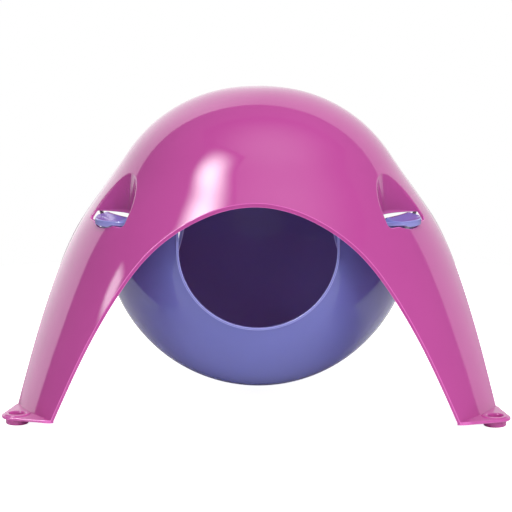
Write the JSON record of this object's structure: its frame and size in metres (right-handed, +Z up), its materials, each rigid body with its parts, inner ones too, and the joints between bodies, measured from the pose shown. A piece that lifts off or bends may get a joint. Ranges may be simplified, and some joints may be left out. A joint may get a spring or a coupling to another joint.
{
  "type": "hanging rodent house",
  "caption": "Domed plastic house for a small rodent: a round nest bowl hangs by tongues inside a hood whose legs end in eyes, so it stands or is hung up.",
  "frame": {"origin": "centre of the circle through the foot eyes, level with the undersides of the feet, on the house's vertical axis", "axes": "+Z up along the vertical axis, the front entrance faces -Y, +X to the right as seen from the front"},
  "size_m": [0.3146, 0.2823, 0.2019],
  "materials": {
    "hood": "glossy moulded plastic",
    "bowl": "glossy moulded plastic"
  },
  "bodies": {
    "hood": {"hood": "hood"},
    "bowl": {"bowl": "bowl"}
  },
  "joints": [
    {"name": "bowl_lift", "type": "slide", "parent": "hood", "child": "bowl", "axis": [0, 0, 1], "range_m": [0, 0.0014]}
  ]
}
